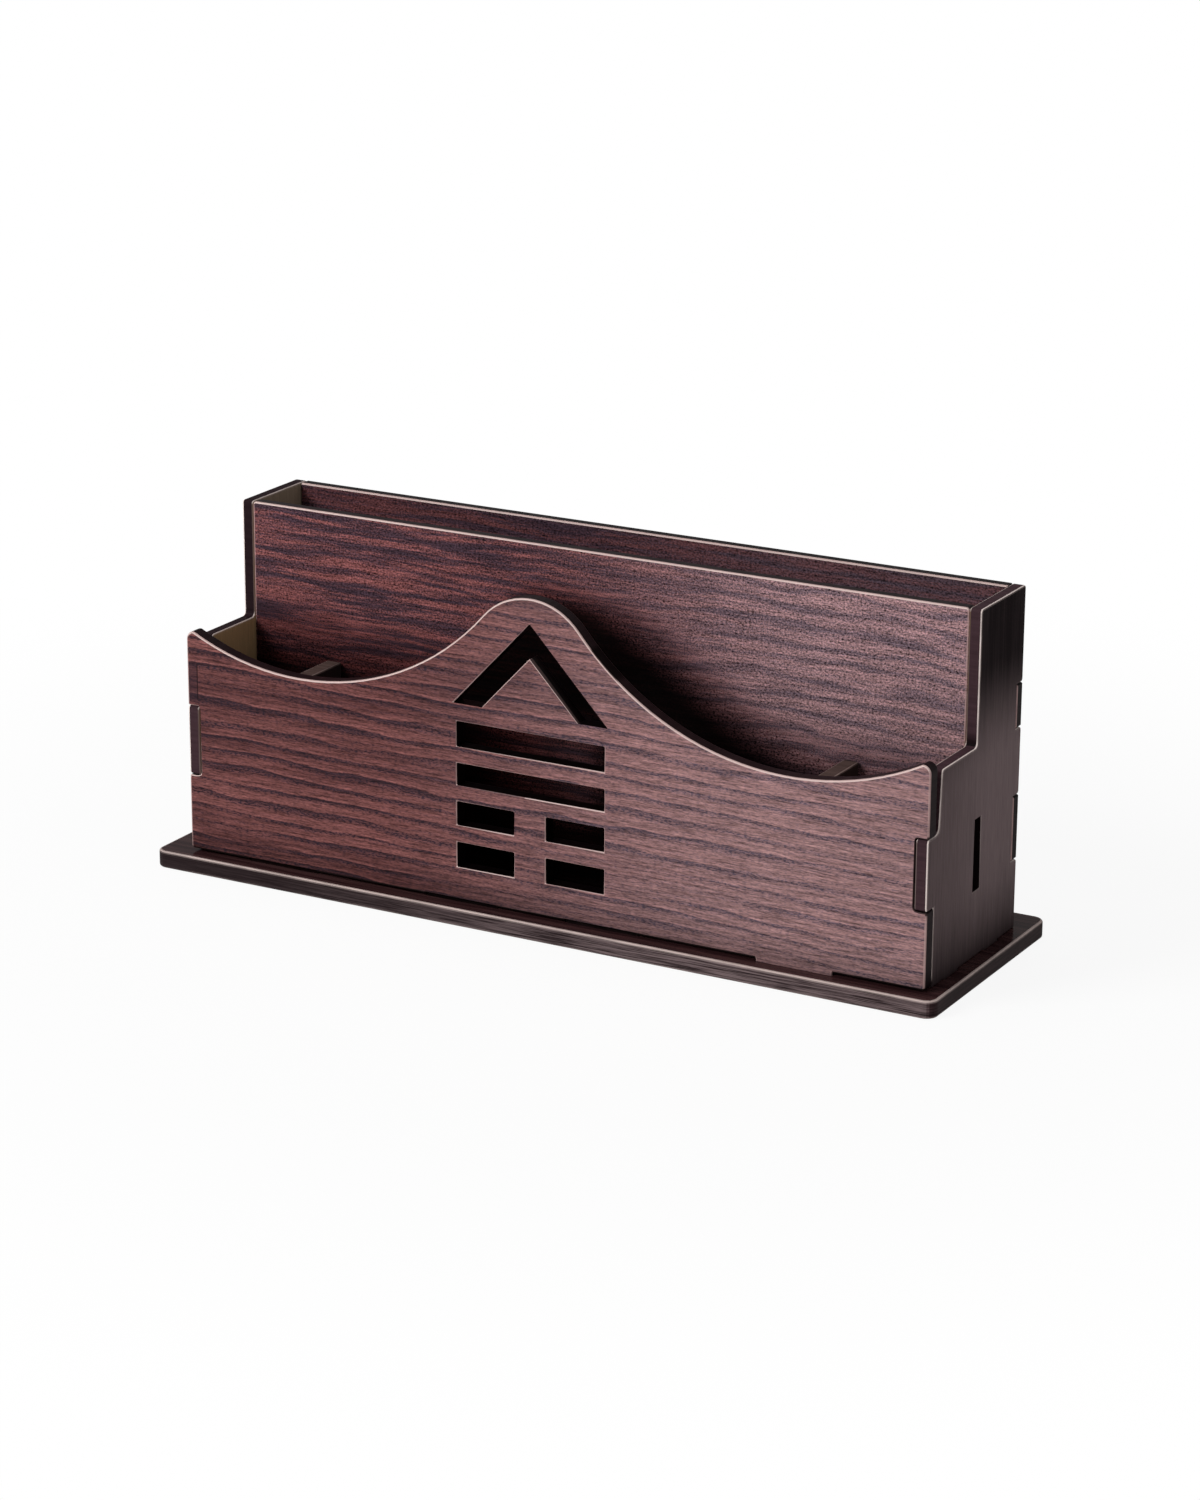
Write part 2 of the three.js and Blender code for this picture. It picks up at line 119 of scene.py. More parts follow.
class Wire:
    """A number that runs between shader nodes, on which Python's operators add Math nodes."""

    def __init__(self, bench: "Bench", socket: Optional[Socket]) -> None:
        """Holds the socket that the number comes out of, which the last node of a tree doesn't have."""
        self.bench = bench
        self.socket = socket

    def _math(self, operation: str, *others: Union["Wire", float], first: Optional[float] = None) -> "Wire":
        """Adds one Math node.

        Args:
            operation: The Math node's operation.
            others: The values that follow this one.
            first: A number that takes the first place, with this value second.

        Returns:
            The node's result.
        """
        values = [self, *others] if first is None else [first, self, *others]
        return self.bench.node("ShaderNodeMath", {"operation": operation}, dict(enumerate(values)))

    def __add__(self, other: Union["Wire", float]) -> "Wire":
        """This value plus another."""
        return self._math("ADD", other)

    def __radd__(self, other: float) -> "Wire":
        """A number plus this value."""
        return self._math("ADD", other)

    def __sub__(self, other: Union["Wire", float]) -> "Wire":
        """This value less another."""
        return self._math("SUBTRACT", other)

    def __rsub__(self, other: float) -> "Wire":
        """A number less this value."""
        return self._math("SUBTRACT", first=other)

    def __mul__(self, other: Union["Wire", float]) -> "Wire":
        """This value times another."""
        return self._math("MULTIPLY", other)

    def __rmul__(self, other: float) -> "Wire":
        """A number times this value."""
        return self._math("MULTIPLY", other)

    def __truediv__(self, other: Union["Wire", float]) -> "Wire":
        """This value divided by another."""
        return self._math("DIVIDE", other)

    def __abs__(self) -> "Wire":
        """This value without its sign."""
        return self._math("ABSOLUTE")

    def fraction(self) -> "Wire":
        """What is left of this value after its whole number."""
        return self._math("FRACT")

    def rise(self, low: float, high: float) -> "Wire":
        """A smooth climb from 0 to 1 while this value goes from low to high.

        Args:
            low: Where the climb starts.
            high: Where it ends, below low for a fall.

        Returns:
            The share climbed, from 0 to 1.
        """
        if high < low:
            return 1 - self.rise(high, low)
        ranges = {"From Min": low, "From Max": high, "To Min": 0.0, "To Max": 1.0}
        settings = {"interpolation_type": "SMOOTHSTEP"}
        return self.bench.node("ShaderNodeMapRange", settings, {"Value": self, **ranges})


@dataclass(frozen=True)
class Stretch:
    """A stretch along one of the stand's directions that fades in at its start and out at its end."""

    start: float
    end: float
    fade_in: float = 0.5
    fade_out: float = 0.5

    def share(self, place: Wire) -> Wire:
        """How far a place counts as inside the stretch, from 0 to 1."""
        begun = place.rise(self.start, self.start + self.fade_in)
        return begun * place.rise(self.end, self.end - self.fade_out)


class Bench:
    """The node tree of a material or of the room, with the few ways in which its nodes are added."""

    def __init__(self, owner: Union[bpy.types.Material, bpy.types.World]) -> None:
        """Empties the node tree of a material or a world.

        Args:
            owner: The material or world.
        """
        owner.use_nodes = True
        self.owner = owner
        self.tree = owner.node_tree
        self.tree.nodes.clear()
        self._shared: dict[str, Wire] = {}

    def node(
        self,
        kind: str,
        settings: Optional[dict[str, Any]] = None,
        sockets: Optional[dict[Union[str, int], Any]] = None,
        output: Union[str, int] = 0,
    ) -> Wire:
        """Adds any node, sets it up and joins its sockets.

        Args:
            kind: The node's type.
            settings: Its settings, such as a Math node's operation, which are set before its sockets.
            sockets: A value or a wire for each input, by name, identifier or place.
            output: The output that is wanted, by name, identifier or place.

        Returns:
            The wire from that output.
        """
        made = self.tree.nodes.new(kind)
        for setting, value in (settings or {}).items():
            setattr(made, setting, value)
        for key, value in (sockets or {}).items():
            target = self._find(made.inputs, key)
            if isinstance(value, Wire):
                self.tree.links.new(value.socket, target)
            elif isinstance(value, tuple) and target.type == "RGBA":
                target.default_value = (*value, 1.0)
            else:
                target.default_value = value
        return Wire(self, self._find(made.outputs, output) if made.outputs else None)

    @staticmethod
    def _find(sockets: Any, key: Union[str, int]) -> Socket:
        """Finds a socket by its place, its identifier or its name.

        Args:
            sockets: A node's inputs or outputs.
            key: The place, identifier or name.

        Returns:
            The socket.
        """
        if isinstance(key, int):
            return sockets[key]
        identified = [socket for socket in sockets if socket.identifier == key]
        named = [socket for socket in sockets if socket.name == key and socket.enabled]
        return (identified or named)[0]

    def place(self, way: Way) -> Wire:
        """How far along one of the stand's directions a point of the surface lies.

        Args:
            way: The direction.

        Returns:
            The distance from the stand's origin, in millimetres.
        """
        if "place" not in self._shared:
            source = self.node("ShaderNodeTexCoord", output="Object")
            values = {0: source, "Scale": MILLIMETRES}
            self._shared["place"] = self.node("ShaderNodeVectorMath", {"operation": "SCALE"}, values)
        return self._part("place", way)

    def facing(self, way: Way) -> Wire:
        """How much the surface faces along one of the stand's directions.

        Args:
            way: The direction.

        Returns:
            The share, from -1 where it faces the other way to 1.
        """
        if "facing" not in self._shared:
            self._shared["facing"] = self.node("ShaderNodeTexCoord", output="Normal")
        return self._part("facing", way)

    def _part(self, vector: str, way: Way) -> Wire:
        """One part of a vector that the material shares among its nodes.

        Args:
            vector: Which of the shared vectors.
            way: Which of its parts.

        Returns:
            The part.
        """
        key = f"{vector} {way.name}"
        if key not in self._shared:
            self._shared[key] = self.node("ShaderNodeSeparateXYZ", None, {0: self._shared[vector]}, way.value)
        return self._shared[key]

    def noise(self, layer: Layer, along: Wire, across: Wire, seed: float) -> Wire:
        """Soft noise, mostly between 0.3 and 0.7 where it isn't stretched.

        Args:
            layer: How finely and how roughly it is drawn.
            along: The place along the board.
            across: The place across it.
            seed: A number that gives each board its own noise.

        Returns:
            The noise.
        """
        spots = {0: along * layer.along, 1: across * layer.across, 2: seed + layer.shift}
        spot = self.node("ShaderNodeCombineXYZ", None, spots)
        values = {"Vector": spot, "Scale": 1.0, "Detail": layer.detail, "Roughness": layer.roughness}
        soft = self.node("ShaderNodeTexNoise", {"noise_dimensions": "3D"}, values, "Fac")
        return soft.rise(*layer.stretched) if layer.stretched else soft

    def blend(
        self,
        share: Union[Wire, float],
        below: Union[Wire, Colour],
        above: Union[Wire, Colour],
        how: Laying = Laying.COVER,
    ) -> Wire:
        """Lays one colour over another.

        Args:
            share: How much of the upper colour shows.
            below: The lower colour.
            above: The upper colour.
            how: The way the two are combined.

        Returns:
            The colour that results.
        """
        settings = {"data_type": "RGBA", "blend_type": how.value, "clamp_factor": True}
        sockets = {"Factor_Float": share, "A_Color": below, "B_Color": above}
        return self.node("ShaderNodeMix", settings, sockets, "Result_Color")

    def scale(self, colour: Union[Wire, Colour], level: Wire) -> Wire:
        """A colour made darker or lighter by a value, which leaves it as it is at 1."""
        grey = self.node("ShaderNodeCombineColor", {"mode": "RGB"}, {0: level, 1: level, 2: level})
        return self.blend(1.0, colour, grey, Laying.MULTIPLY)

    def sort(self, square: Wire, face: Wire, arris: Wire, sawn: Wire, sawn_span: Span = SAWN) -> Wire:
        """Puts the colours of a board's face, arrises and sawn edges where each belongs.

        Args:
            square: How squarely the surface looks the way that the board does.
            face: The colour of the face.
            arris: The colour of the eased arrises.
            sawn: The colour of the sawn edges.
            sawn_span: Where a surface starts and fully counts as sawn.

        Returns:
            The colour that results.
        """
        eased = self.blend(square.rise(*FACE), arris, face)
        return self.blend(square.rise(*sawn_span), eased, sawn)

    def bump(self, height: Wire, depth: float, strength: float) -> Wire:
        """Turns a height into a surface that catches the light.

        Args:
            height: The height, from 0 to 1.
            depth: How deep a height of 1 is, in millimetres.
            strength: How much of it shows, from 0 to 1.

        Returns:
            The normal for a shader.
        """
        values = {"Strength": strength, "Distance": depth / MILLIMETRES, "Height": height}
        return self.node("ShaderNodeBump", None, values)

    def surface(self, sockets: dict[str, Any]) -> bpy.types.Material:
        """Ends the material in one Principled shader.

        Args:
            sockets: A value or a wire for each of the shader's inputs.

        Returns:
            The finished material.
        """
        shader = self.node("ShaderNodeBsdfPrincipled", None, sockets)
        self.node("ShaderNodeOutputMaterial", None, {"Surface": shader})
        return self.owner


@dataclass(frozen=True)
class ScoreLine:
    """A fine upright line near the end of a board, with a darker strip beyond it."""

    place: float
    heights: Stretch
    half_width: float = 0.12
    fade: float = 0.2


@dataclass(frozen=True)
class Notch:
    """A notch at a board's end: the painted highlight or shade colour of its arris, and how much of it shows.
    """

    fade_in: Span
    heights: Stretch
    colour: Colour
    strength: float


@dataclass(frozen=True)
class FootShadow:
    """A painted shadow line along a board's foot, which a foot tab breaks, and painted shade above it."""

    tab: Stretch
    height: float
    fade: float = 0.15
    depth: float = 0.95
    dim_heights: Span = (17.0, 7.0)
    dim_depth: float = 0.2


@dataclass
class Figure:
    """The parts of one board's rosewood figure, as they run between the nodes of its material."""

    rings: Wire
    band: Wire
    change: Wire
    fibre: Wire
    hair: Wire
    speck: Wire


@dataclass(frozen=True)
class Rosewood:
    """Printed rosewood laminate on a board that stands lengthwise: long, slightly wavy growth lines."""

    SLOW_WAVE: ClassVar[Layer] = Layer(0.006, 0.014)
    RIPPLE: ClassVar[Layer] = Layer(0.024, 0.09, 4.1, 3.0)
    WOBBLE: ClassVar[Layer] = Layer(0.055, 0.14, 6.2, 1.0)
    BROAD_BAND: ClassVar[Layer] = Layer(0.02, 0.4, 15.7, 3.0, 0.6, (0.43, 0.6))
    NARROW_BAND: ClassVar[Layer] = Layer(0.036, 1.2, 19.3, 2.0, 0.55, (0.45, 0.6))
    BRIGHT_BAND: ClassVar[Layer] = Layer(0.02, 0.4, 25.1, stretched=(0.46, 0.6))
    UNEVEN: ClassVar[Layer] = Layer(0.0035, 0.05, 9.3)
    PATCH: ClassVar[Layer] = Layer(0.018, 0.15, 15.7, stretched=(0.34, 0.6))
    CHANGE: ClassVar[Layer] = Layer(0.009, 0.06, 21.0)
    FIBRE: ClassVar[Layer] = Layer(0.07, 1.3, 31.0, 4.0, 0.6)
    HAIR: ClassVar[Layer] = Layer(0.28, 3.4, 37.0)
    SAW_MARK: ClassVar[Layer] = Layer(0.06, 0.9, 61.0, 3.0)
    WORN: ClassVar[Layer] = Layer(0.12, 0.12, 67.0, 3.0, stretched=(0.3, 0.6))

    name: str
    seed: float
    ground_dark: Colour
    ground_light: Colour
    line: Colour
    # pale and pale_line are the face and line colours under the painted sheen
    pale: Colour
    pale_line: Colour
    sawn: Colour
    # arris is rubbed pale, partly wear and partly painted highlight; lit_arris is the painted highlight on
    # upward arrises
    arris: Colour
    lit_arris: Colour
    rear_arris: float = 1.0
    cut: Cut = Cut.LINED
    spacing: float = 4.6
    line_start: float = 0.45
    line_gain: float = 0.05
    line_end: float = 0.92
    slope: float = 0.012
    sway: float = 9.0
    ripple_reach: float = 3.2
    wobble_reach: float = 1.8
    line_strength: float = 0.95
    second_strength: float = 0.35
    fibre_strength: float = 2.3
    hair_strength: float = 1.8
    speck_strength: float = 1.0
    speck_length: float = 0.5
    grit_strength: float = 0.36
    # Painted sheen: towards the right the face is washed towards the pale colours, standing in for a
    # reflection; the same stretch also evens and thins the figure there
    painted_sheen: float = 0.75
    sheen_and_grain_span: Span = (-60.0, 85.0)
    lit_above: float = 60.0
    # Painted shade in the pen pocket and behind the crest, lifted by a painted glow (gleam) where light would
    # come through the cut figure
    shade: float = 0.0
    shade_span: Span = (47.0, 78.0)
    shade_tilt: float = 0.07
    shade_tint: Colour = (1.0, 0.5, 0.55)
    shade_grain: float = 14.0
    gleam: float = 0.9
    gleam_along: Stretch = Stretch(-42.0, 12.0, 42.0, 14.0)
    gleam_heights: Stretch = Stretch(18.0, 62.0, 24.0, 12.0)
    crest_place: float = -1.4
    crest_waist: float = 58.0
    crest_tops: Span = (101.0, 90.0)
    crest_left: Span = (-62.0, -48.0)
    left_slope: float = 0.93
    crest_right: Span = (86.0, 46.0)
    right_slope: float = 1.5
    # Painted shade on the sawn ends that stand in the slots
    slot_shade: float = 0.0
    slots_middle: float = 2.5
    slots_from: Span = (120.8, 121.2)
    pierced_half_width: float = 28.0
    pierced_heights: Stretch = Stretch(12.0, 92.0, 2.0, 1.5)
    score: Optional[ScoreLine] = None
    notches: tuple[Notch, ...] = ()
    foot: Optional[FootShadow] = None
    roughness: float = 0.45
    gloss: float = 0.05

    def noise(self, bench: Bench, layer: Layer, across: Optional[Wire] = None) -> Wire:
        """One layer of noise over the board.

        Args:
            bench: The material's node tree.
            layer: How the noise is drawn.
            across: The height that it is drawn by, where that isn't the height on the board.

        Returns:
            The noise.
        """
        return bench.noise(layer, bench.place(Way.LENGTH), across or bench.place(Way.HEIGHT), self.seed)

    def waves(self, bench: Bench) -> tuple[Wire, Wire]:
        """Bends the figure, so that it runs along the board in slow waves.

        Args:
            bench: The material's node tree.

        Returns:
            The shorter waves alone, and the bent height on the board.
        """
        slow = self.noise(bench, self.SLOW_WAVE) - 0.5
        ripple = self.noise(bench, self.RIPPLE) - 0.5
        wobble = self.noise(bench, self.WOBBLE) - 0.5
        level = bench.place(Way.HEIGHT) + bench.place(Way.LENGTH) * self.slope + slow * self.sway
        return ripple, level + ripple * self.ripple_reach + wobble * self.wobble_reach

    def bands(self, bench: Bench) -> tuple[Wire, Wire, Wire]:
        """Works out broad lens-shaped bands, as on a board cut through the middle of the figure.

        Args:
            bench: The material's node tree.

        Returns:
            How dark a band is at each point, the brightest streaks between bands, and the slow change of
            tone.
        """
        ripple, level = self.waves(bench)
        broad = self.noise(bench, self.BROAD_BAND, level)
        narrow = self.noise(bench, self.NARROW_BAND, level)
        beat = abs((level / self.spacing + ripple * 1.6).fraction() - 0.5)
        even = bench.place(Way.LENGTH).rise(*self.sheen_and_grain_span) * 0.9
        broad = broad * (1 - even) + beat.rise(0.2, 0.45) * even * 1.1
        bright = (1 - broad) * self.noise(bench, self.BRIGHT_BAND, level)
        return broad + narrow * self.second_strength * 1.6, bright, 1 - broad * 0.5

    def lines(self, bench: Bench) -> tuple[Wire, Wire, Wire]:
        """Works out the growth lines, which darken slowly and end sharply, with finer lines between.

        Args:
            bench: The material's node tree.

        Returns:
            How dark a growth line is at each point, the light band above each line, and the slow change of
            tone.
        """
        ripple, level = self.waves(bench)
        uneven = self.noise(bench, self.UNEVEN)
        patch = self.noise(bench, self.PATCH)
        saw = (level / self.spacing + uneven * 2.6).fraction()
        start = self.line_start + bench.place(Way.LENGTH).rise(*self.sheen_and_grain_span) * self.line_gain
        slowly = ((saw - start) / (self.line_end - start)).rise(0.0, 1.0)
        first = slowly * saw.rise(1.0, 0.94) * (0.25 + 0.75 * patch)
        fine = ((level + ripple * 3.0) / (self.spacing * 0.41) + uneven * 3.7).fraction()
        second = fine.rise(0.3, 0.85) * fine.rise(1.0, 0.88) * (1 - patch * 0.6)
        band = saw.rise(0.2, 0.02) * patch
        return first + second * self.second_strength, band, self.noise(bench, self.CHANGE)

    def figure(self, bench: Bench) -> Figure:
        """Works out all the parts of the board's figure.

        Args:
            bench: The material's node tree.

        Returns:
            The parts.
        """
        rings, band, change = self.bands(bench) if self.cut is Cut.BANDED else self.lines(bench)
        return Figure(
            # The figure fades under the painted sheen towards the right
            rings=rings * (1 - bench.place(Way.LENGTH).rise(*self.sheen_and_grain_span) * 0.2),
            band=band,
            change=change,
            fibre=self.noise(bench, self.FIBRE),
            hair=self.noise(bench, self.HAIR),
            speck=self.noise(bench, Layer(self.speck_length, 1.9, 43.0, 3.0, 0.6)),
        )

    def wood(self, bench: Bench, figure: Figure) -> Wire:
        """Colours the face, with a painted sheen that pales it towards the right.

        Args:
            bench: The material's node tree.
            figure: The parts of its figure.

        Returns:
            The colour of the face.
        """
        gritty = Layer(self.speck_length * 1.7, 2.4, 47.0, 1.0, stretched=(0.47, 0.62))
        grit = self.noise(bench, gritty)
        # Painted sheen: a paler wash towards the right, standing in for a reflection
        painted_sheen = bench.place(Way.LENGTH).rise(*self.sheen_and_grain_span) * self.painted_sheen
        light = (figure.change + figure.band * 0.2).rise(*DARK_TO_LIGHT)
        wood = bench.blend(light, self.ground_dark, self.ground_light)
        wood = bench.blend(painted_sheen, wood, self.pale)
        dark = figure.rings * self.line_strength * (0.8 + grit * 0.45) + grit * self.grit_strength
        wood = bench.blend(dark, wood, bench.blend(painted_sheen, self.line, self.pale_line))
        level = 1 + (figure.fibre - 0.5) * self.fibre_strength + (figure.speck - 0.5) * self.speck_strength
        wood = bench.scale(wood, level + (figure.hair - 0.5) * self.hair_strength + figure.band * 0.12)
        return self.scored(bench, wood, self.score) if self.score else wood

    def scored(self, bench: Bench, wood: Wire, score: ScoreLine) -> Wire:
        """Draws the score line and the darker strip beyond it.

        Args:
            bench: The material's node tree.
            wood: The colour of the face.
            score: The line.

        Returns:
            The colour of the face with the line on it.
        """
        along, within = bench.place(Way.LENGTH), score.heights.share(bench.place(Way.HEIGHT))
        beyond = along.rise(score.place + score.fade, score.place)
        wood = bench.blend(within * beyond * 0.55, wood, self.line)
        line = abs(along - score.place).rise(score.half_width + score.fade, score.half_width)
        return bench.blend(within * line * 0.75, wood, self.sawn)

    def pierced(self, bench: Bench) -> Wire:
        """The part of the board that the cut figure takes up.

        Args:
            bench: The material's node tree.

        Returns:
            1 inside it and 0 outside.
        """
        off = abs(bench.place(Way.LENGTH) - self.crest_place)
        beside = off.rise(self.pierced_half_width + 2.0, self.pierced_half_width)
        return beside * self.pierced_heights.share(bench.place(Way.HEIGHT))

    def rim(self, bench: Bench, wood: Wire) -> Wire:
        """Colours the eased arrises: rubbed pale, partly wear and partly painted highlight, more along the
        top.

        Args:
            bench: The material's node tree.
            wood: The colour of the face.

        Returns:
            The colour of the arrises.
        """
        along, across = bench.place(Way.LENGTH), bench.place(Way.HEIGHT)
        crisp = abs(bench.facing(Way.DEPTH)).rise(*CRISP)
        pierced = self.pierced(bench)
        # Rubbed pale arrises: partly wear, partly painted highlight
        rubbed = bench.blend(0.4 + self.noise(bench, self.WORN) * 0.4 + pierced * 0.1, wood, self.arris)
        # Painted highlight on the upward arrises along the top and in the cut figure
        above = across.rise(self.lit_above - 1.0, self.lit_above + 1.0)
        top = bench.facing(Way.HEIGHT).rise(*UPWARD) * (above * (1 - pierced) + pierced * 0.75)
        pale = bench.blend(top * (0.35 + crisp * 0.6), rubbed, self.lit_arris)
        # Painted shade on the sideways arrises in the cut figure
        beyond = bench.facing(Way.LENGTH).rise(*ASIDE) * pierced * (1 - crisp)
        pale = bench.blend(beyond * 0.9, pale, self.sawn)
        rear = bench.facing(Way.DEPTH).rise(*ASIDE) * (1 - self.rear_arris)
        pale = bench.blend(rear, pale, self.sawn)
        for notch in self.notches:
            inside = along.rise(*notch.fade_in) * notch.heights.share(across)
            pale = bench.blend(inside * notch.strength, pale, notch.colour)
        return pale

    def raw_edge(self, bench: Bench) -> Wire:
        """Colours the sawn edges, with painted shade in the cut figure and where an end stands in a slot.

        Args:
            bench: The material's node tree.

        Returns:
            The colour of the sawn edges.
        """
        # Painted shade in the cut figure and on the ends in the slots
        in_slot = abs(bench.place(Way.LENGTH) - self.slots_middle).rise(*self.slots_from)
        unshaded = (1 - self.pierced(bench) * 0.8) * (1 - in_slot * self.slot_shade)
        return bench.scale(self.sawn, (0.4 + self.noise(bench, self.SAW_MARK) * 1.2) * unshaded)

    def foot_shaded(self, bench: Bench, colour: Wire, foot: FootShadow) -> Wire:
        """Paints shade along the foot of the board.

        Args:
            bench: The material's node tree.
            colour: The board's colour.
            foot: The line along its foot.

        Returns:
            The colour with the painted shade at the foot.
        """
        across = bench.place(Way.HEIGHT)
        # Painted shadow line where the gap under the board is in shade, and painted shade above it
        beside = 1 - foot.tab.share(bench.place(Way.LENGTH))
        line = beside * across.rise(foot.height + foot.fade, foot.height - foot.fade)
        dim = across.rise(*foot.dim_heights) * foot.dim_depth
        return bench.scale(colour, (1 - line * foot.depth) * (1 - dim))

    def pocket_shade(self, bench: Bench) -> Wire:
        """Works out the painted shade down in the pen pocket and behind the crest of the board in front of
        it.

        Args:
            bench: The material's node tree.

        Returns:
            How dark the painted shade is, less where painted light stands for light through the cut figure.
        """
        off, across = bench.place(Way.LENGTH) - self.crest_place, bench.place(Way.HEIGHT)
        low = (across + off * self.shade_tilt).rise(self.shade_span[1], self.shade_span[0])
        left = (off - (across - self.crest_waist) * self.left_slope).rise(*self.crest_left)
        right = (off + (across - self.crest_waist) * self.right_slope).rise(*self.crest_right)
        behind = left * right * across.rise(*self.crest_tops)
        gleam = self.gleam_along.share(off) * self.gleam_heights.share(across)
        return (1 - (1 - low) * (1 - behind)) * (1 - gleam * self.gleam)

    def shaded(self, bench: Bench, colour: Wire, speck: Wire) -> Wire:
        """Paints shade into the print in the pen pocket, darker and redder, with a grainy edge to the shade.

        Args:
            bench: The material's node tree.
            colour: The board's colour.
            speck: The specks of its figure.

        Returns:
            The colour with the painted shade in it.
        """
        depth = self.pocket_shade(bench)
        depth = depth + (speck - 0.5) * depth * (1 - depth) * self.shade_grain
        colour = bench.scale(colour, 1 - depth * self.shade)
        return bench.blend(depth * 0.6, colour, self.shade_tint, Laying.MULTIPLY)

    def material(self) -> bpy.types.Material:
        """Builds the laminate.

        Returns:
            The finished material.
        """
        bench = Bench(bpy.data.materials.new(self.name))
        square = abs(bench.facing(Way.DEPTH))
        figure = self.figure(bench)
        wood = self.wood(bench, figure)
        colour = bench.sort(square, wood, self.rim(bench, wood), self.raw_edge(bench))
        if self.foot:
            colour = self.foot_shaded(bench, colour, self.foot)
        if self.shade:
            colour = self.shaded(bench, colour, figure.speck)
        height = figure.fibre * 0.6 + (1 - figure.rings) * 0.4 + figure.hair * 0.2
        return bench.surface(
            {
                "Base Color": colour,
                "Roughness": self.roughness + (figure.fibre - 0.5) * 0.3 - (1 - square.rise(*FACE)) * 0.1,
                "Specular IOR Level": self.gloss,
                "Normal": bench.bump(height, 0.05, 0.5),
            }
        )


@dataclass(frozen=True)
class DarkLaminate:
    """Dark brown-grey laminate on a board that stands crosswise, with upright brushed streaks."""

    BRUSHED: ClassVar[Layer] = Layer(1.3, 0.03, 0.0, 4.0, 0.6)
    BAND: ClassVar[Layer] = Layer(0.2, 0.012, 5.0)
    FINE: ClassVar[Layer] = Layer(4.5, 0.14, 11.0, 3.0)
    WORN: ClassVar[Layer] = Layer(0.15, 0.1, 17.0, 3.0, stretched=(0.3, 0.6))
    SAW_MARK: ClassVar[Layer] = Layer(0.8, 0.8, 23.0, 3.0)

    name: str
    seed: float
    outward: Outward
    # dark and light are the two ends of the painted light on the outer face, and dark is also the painted
    # shade low in the lining
    dark: Colour
    light: Colour
    inside: Colour
    inside_rear: Colour
    sawn: Colour
    arris: Colour
    lit_arris: Colour
    # Painted light on the outer face: lit in the middle of its height, dark towards top and bottom, a little
    # lighter towards the back
    glow_heights: Stretch = Stretch(-6.0, 94.0, 38.0, 34.0)
    glow_depths: Span = (-32.0, 10.0)
    glow_share: float = 0.88
    rear_from: Span = (-4.0, 2.0)
    # Painted shade darkening the lining low down in the pocket
    lining_shade: Span = (70.0, 40.0)
    above_plate: Span = (7.0, 9.0)
    slot: Stretch = Stretch(-3.6, 1.9, 0.3, 0.3)
    slot_below: Span = (75.0, 70.0)
    tall_from: Span = (66.0, 74.0)
    tall_dim: float = 0.0
    roughness: float = 0.45
    gloss: float = 0.015

    def noise(self, bench: Bench, layer: Layer) -> Wire:
        """One layer of noise over the board, drawn across it and up it."""
        return bench.noise(layer, bench.place(Way.DEPTH), bench.place(Way.HEIGHT), self.seed)

    def skin(self, bench: Bench, brushed: Wire, fine: Wire) -> Wire:
        """Colours both faces: painted light on the outside, lit mid-height, and a lining with painted shade
        low.

        Args:
            bench: The material's node tree.
            brushed: The brushed streaks.
            fine: The finest streaks.

        Returns:
            The colour of the faces.
        """
        depth, height = bench.place(Way.DEPTH), bench.place(Way.HEIGHT)
        bands = self.noise(bench, self.BAND)
        # Painted light on the outer face, lit in the middle of its height
        lit = self.glow_heights.share(height) * (0.7 + depth.rise(*self.glow_depths) * 0.4)
        share = lit * self.glow_share + (brushed - 0.5) * 0.32 + (bands - 0.5) * 0.22 + 0.03
        outside = bench.blend(share, self.dark, self.light)
        outside = bench.scale(outside, 1 + (fine - 0.5) * 0.7 + (brushed - 0.5) * 0.4)
        lining = bench.blend(depth.rise(*self.rear_from), self.inside, self.inside_rear)
        lining = bench.scale(lining, 1 + (fine - 0.5) * 0.5 + (brushed - 0.5) * 0.6)
        lining = bench.blend(height.rise(*self.lining_shade) * 0.7, lining, self.dark)
        inward = (bench.facing(Way.LENGTH) * self.outward.value).rise(-0.2, -0.8)
        return bench.blend(inward, outside, lining)

    def rim(self, bench: Bench, skin: Wire) -> Wire:
        """Colours the eased arrises: worn in places, with a painted highlight where they would catch the
        light.

        Args:
            bench: The material's node tree.
            skin: The colour of the faces.

        Returns:
            The colour of the arrises.
        """
        turned = bench.facing(Way.LENGTH)
        worn = self.noise(bench, self.WORN)
        above = bench.place(Way.HEIGHT).rise(*self.above_plate)
        rim = bench.blend((0.15 + worn * 0.35) * above, skin, self.arris)
        outer = (turned * self.outward.value).rise(-0.05, 0.05)
        upward = bench.facing(Way.HEIGHT).rise(*UPWARD)
        raised = upward * (0.5 + outer * 0.5) + bench.facing(Way.DEPTH).rise(-0.08, -0.3) * outer
        # Painted highlight where the arris would catch the light
        caught = raised * (1 - abs(turned).rise(*CRISP) * 0.9) * (0.75 + worn * 0.25) * above
        return bench.blend(caught, rim, self.lit_arris)

    def raw_edge(self, bench: Bench) -> Wire:
        """Colours the sawn edges, with painted shade in the slot and, where asked, darker on the tall part.

        Args:
            bench: The material's node tree.

        Returns:
            The colour of the sawn edges.
        """
        height = bench.place(Way.HEIGHT)
        # Painted shade in the slot
        slot = self.slot.share(bench.place(Way.DEPTH)) * height.rise(*self.slot_below)
        dim = (1 - slot * 0.85) * (1 - height.rise(*self.tall_from) * self.tall_dim)
        return bench.scale(self.sawn, (0.5 + self.noise(bench, self.SAW_MARK)) * dim)

